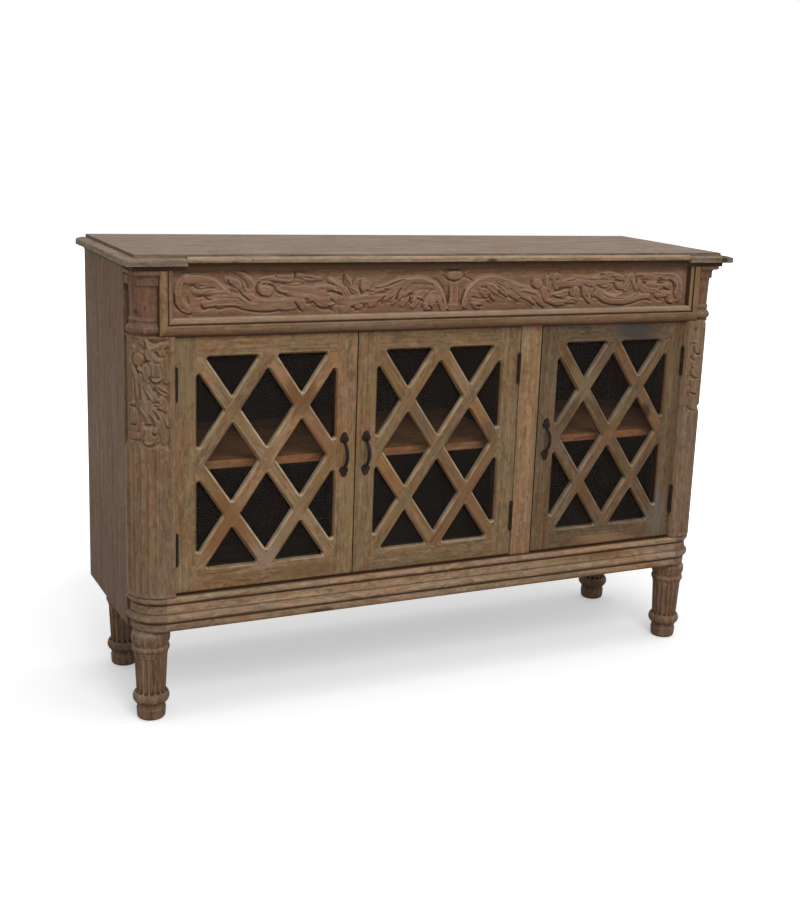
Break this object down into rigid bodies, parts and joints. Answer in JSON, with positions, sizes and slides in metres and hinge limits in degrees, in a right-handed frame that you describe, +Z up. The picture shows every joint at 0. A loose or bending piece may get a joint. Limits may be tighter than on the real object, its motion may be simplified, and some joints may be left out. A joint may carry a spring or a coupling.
{
  "type": "sideboard",
  "caption": "Carved sideboard with glazed lattice doors hung on butt hinges, rounded fluted corner posts, a carved frieze and turned fluted legs.",
  "frame": {"origin": "centre of the bounding box in plan, on the floor under the feet", "axes": "+X to the right as seen from the front, +Y towards the back, +Z up; the doors face -Y"},
  "size_m": [1.346, 0.412, 0.915],
  "materials": {
    "limed_wood": "weathered hardwood rubbed with pale liming wax",
    "carved_wood": "carved hardwood with pale wax in the recesses",
    "dark_wood": "dark inner faces of the cabinet",
    "iron": "dark forged iron",
    "glass": "clear flat glass"
  },
  "bodies": {
    "carcass": {"top_board": "limed_wood", "top_edge_front": "limed_wood", "top_edge_left": "limed_wood", "top_edge_right": "limed_wood", "top_edge_back": "limed_wood", "side_panel_left": "limed_wood", "side_panel_right": "limed_wood", "back_panel": "dark_wood", "back_rail": "limed_wood", "bottom_board": "dark_wood", "partition": "dark_wood", "mullion": "limed_wood", "shelf_wide": "limed_wood", "shelf_narrow": "limed_wood", "shelf_cleats": "dark_wood", "frieze_panel": "carved_wood", "frieze_mould_bottom": "limed_wood", "frieze_mould_sides": "limed_wood", "corner_post_left": "limed_wood", "corner_post_right": "limed_wood", "post_column_left": "limed_wood", "post_column_right": "limed_wood", "post_cap_left": "limed_wood", "post_cap_right": "limed_wood", "base_front": "limed_wood", "base_corner_left": "limed_wood", "base_corner_right": "limed_wood", "leg_front_left": "limed_wood", "leg_front_right": "limed_wood", "leg_rear_left": "limed_wood", "leg_rear_right": "limed_wood", "leg_blocks": "dark_wood", "hinge_leaves_cabinet": "iron", "hinge_pins": "iron"},
    "door_left": {"left_stiles": "limed_wood", "left_rails": "limed_wood", "left_lattice_rise": "limed_wood", "left_lattice_fall": "limed_wood", "left_glass": "glass", "left_beads": "limed_wood", "left_pull": "iron", "left_hinge_leaves": "iron"},
    "door_middle": {"middle_stiles": "limed_wood", "middle_rails": "limed_wood", "middle_lattice_rise": "limed_wood", "middle_lattice_fall": "limed_wood", "middle_glass": "glass", "middle_beads": "limed_wood", "middle_pull": "iron", "middle_hinge_leaves": "iron"},
    "door_right": {"right_stiles": "limed_wood", "right_rails": "limed_wood", "right_lattice_rise": "limed_wood", "right_lattice_fall": "limed_wood", "right_glass": "glass", "right_beads": "limed_wood", "right_pull": "iron", "right_hinge_leaves": "iron"}
  },
  "joints": [
    {"name": "door_left_hinge", "type": "hinge", "parent": "carcass", "child": "door_left", "pos_m": [-0.5758, -0.1797, 0.5127], "axis": [0, 0, -1], "range_deg": [0, 110]},
    {"name": "door_middle_hinge", "type": "hinge", "parent": "carcass", "child": "door_middle", "pos_m": [0.15513, -0.1797, 0.5127], "axis": [0, 0, 1], "range_deg": [0, 110]},
    {"name": "door_right_hinge", "type": "hinge", "parent": "carcass", "child": "door_right", "pos_m": [0.5758, -0.1797, 0.5127], "axis": [0, 0, 1], "range_deg": [0, 110]}
  ]
}
